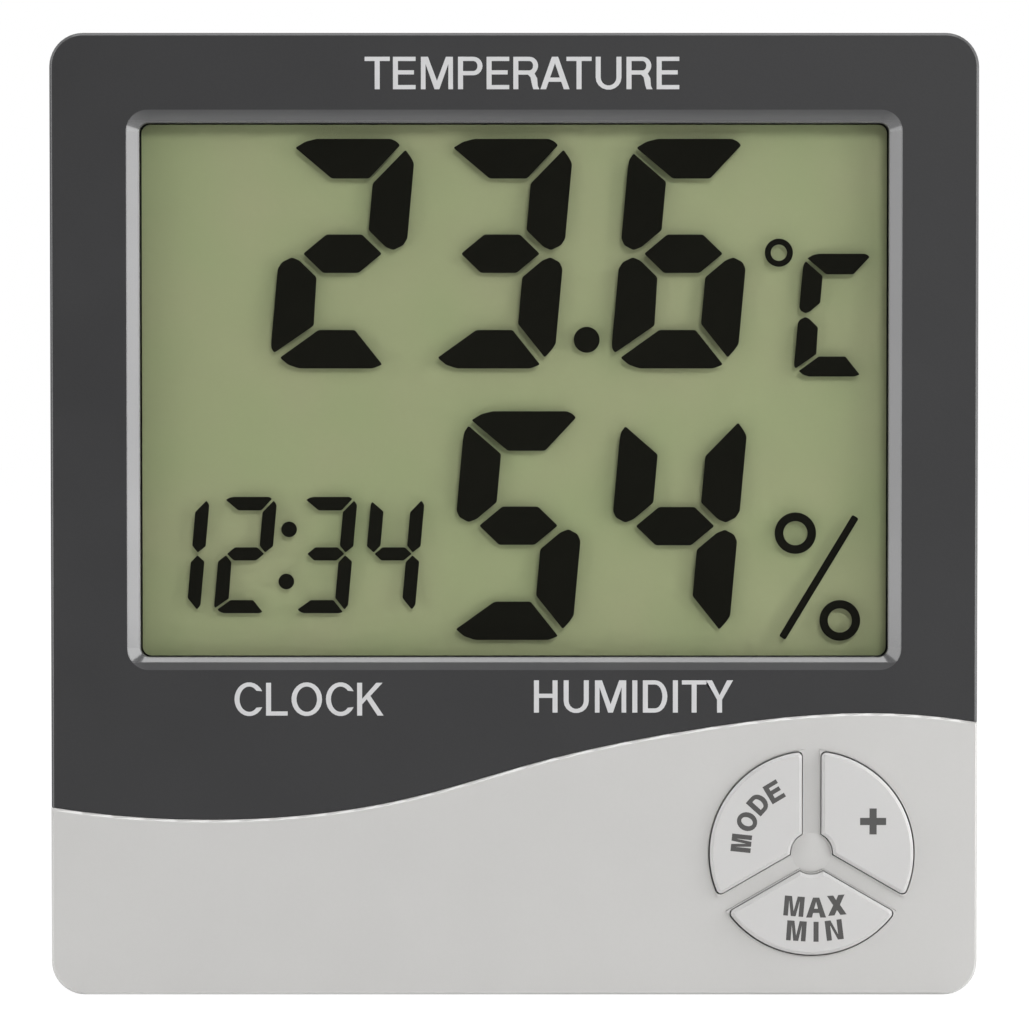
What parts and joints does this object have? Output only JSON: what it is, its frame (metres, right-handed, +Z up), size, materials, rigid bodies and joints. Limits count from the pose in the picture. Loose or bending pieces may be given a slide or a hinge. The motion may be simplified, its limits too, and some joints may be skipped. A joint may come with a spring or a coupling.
{
  "type": "thermometer hygrometer clock",
  "caption": "Desk thermometer, hygrometer and clock with a large segment display in a dark bezel, a round key cluster, and a battery door, stand and keyhole on the back.",
  "frame": {"origin": "centre of the overall box in X and Y, at its base", "axes": "front faces -Y, +X to the right as seen from the front, +Z up"},
  "size_m": [0.0992, 0.022, 0.103],
  "materials": {
    "light_plastic": "satin",
    "dark_plastic": "satin gloss",
    "key_plastic": "satin",
    "display_glass": "clear",
    "display_film": "satin",
    "holder_plastic": "matte",
    "contact_rubber": "matte",
    "board": "satin",
    "epoxy": "satin",
    "can_metal": "satin",
    "chip_ceramic": "matte",
    "sensor_plastic": "matte",
    "bead_epoxy": "gloss",
    "switch_plastic": "matte",
    "plunger_plastic": "matte",
    "cell_can": "satin",
    "spring_metal": "satin",
    "screw_metal": "satin"
  },
  "bodies": {
    "case": {"front_shell": "light_plastic", "upper_bezel": "dark_plastic", "back_cover": "light_plastic", "front_switches": "switch_plastic", "rear_switches": "switch_plastic", "lcd_front_glass": "display_glass", "lcd_rear_glass": "display_glass", "lcd_reflector": "display_film", "lcd_holder": "holder_plastic", "zebra_strip": "contact_rubber", "main_pcb": "board", "controller_blob": "epoxy", "clock_crystal": "can_metal", "chip_parts": "chip_ceramic", "humidity_sensor": "sensor_plastic", "thermistor": "bead_epoxy", "battery_cell": "cell_can", "battery_spring": "spring_metal", "battery_plus_contact": "spring_metal", "housing_screws": "screw_metal"},
    "mode_key": {"mode_key": "key_plastic", "mode_plunger": "plunger_plastic"},
    "plus_key": {"plus_key": "key_plastic", "plus_plunger": "plunger_plastic"},
    "max_min_key": {"max_min_key": "key_plastic", "max_min_plunger": "plunger_plastic"},
    "unit_button": {"unit_button": "key_plastic", "unit_plunger": "plunger_plastic"},
    "reset_button": {"reset_button": "key_plastic", "reset_plunger": "plunger_plastic"},
    "battery_door": {"battery_door": "light_plastic"},
    "stand_leg": {"stand_leg": "light_plastic"}
  },
  "joints": [
    {"name": "mode_press", "type": "slide", "parent": "case", "child": "mode_key", "axis": [0, 1, 0], "range_m": [0, 0.0005], "stiffness_N_per_m": 400},
    {"name": "plus_press", "type": "slide", "parent": "case", "child": "plus_key", "axis": [0, 1, 0], "range_m": [0, 0.0005], "stiffness_N_per_m": 400},
    {"name": "max_min_press", "type": "slide", "parent": "case", "child": "max_min_key", "axis": [0, 1, 0], "range_m": [0, 0.0005], "stiffness_N_per_m": 400},
    {"name": "unit_press", "type": "slide", "parent": "case", "child": "unit_button", "axis": [0, -1, 0], "range_m": [0, 0.0005], "stiffness_N_per_m": 400},
    {"name": "reset_press", "type": "slide", "parent": "case", "child": "reset_button", "axis": [0, -1, 0], "range_m": [0, 0.0005], "stiffness_N_per_m": 400},
    {"name": "battery_door_hinge", "type": "hinge", "parent": "case", "child": "battery_door", "pos_m": [0, 0.011, 0.0726], "axis": [1, 0, 0], "range_deg": [0, 75]},
    {"name": "stand_hinge", "type": "hinge", "parent": "case", "child": "stand_leg", "pos_m": [0, 0.0095, 0.05], "axis": [1, 0, 0], "range_deg": [0, 40]}
  ]
}
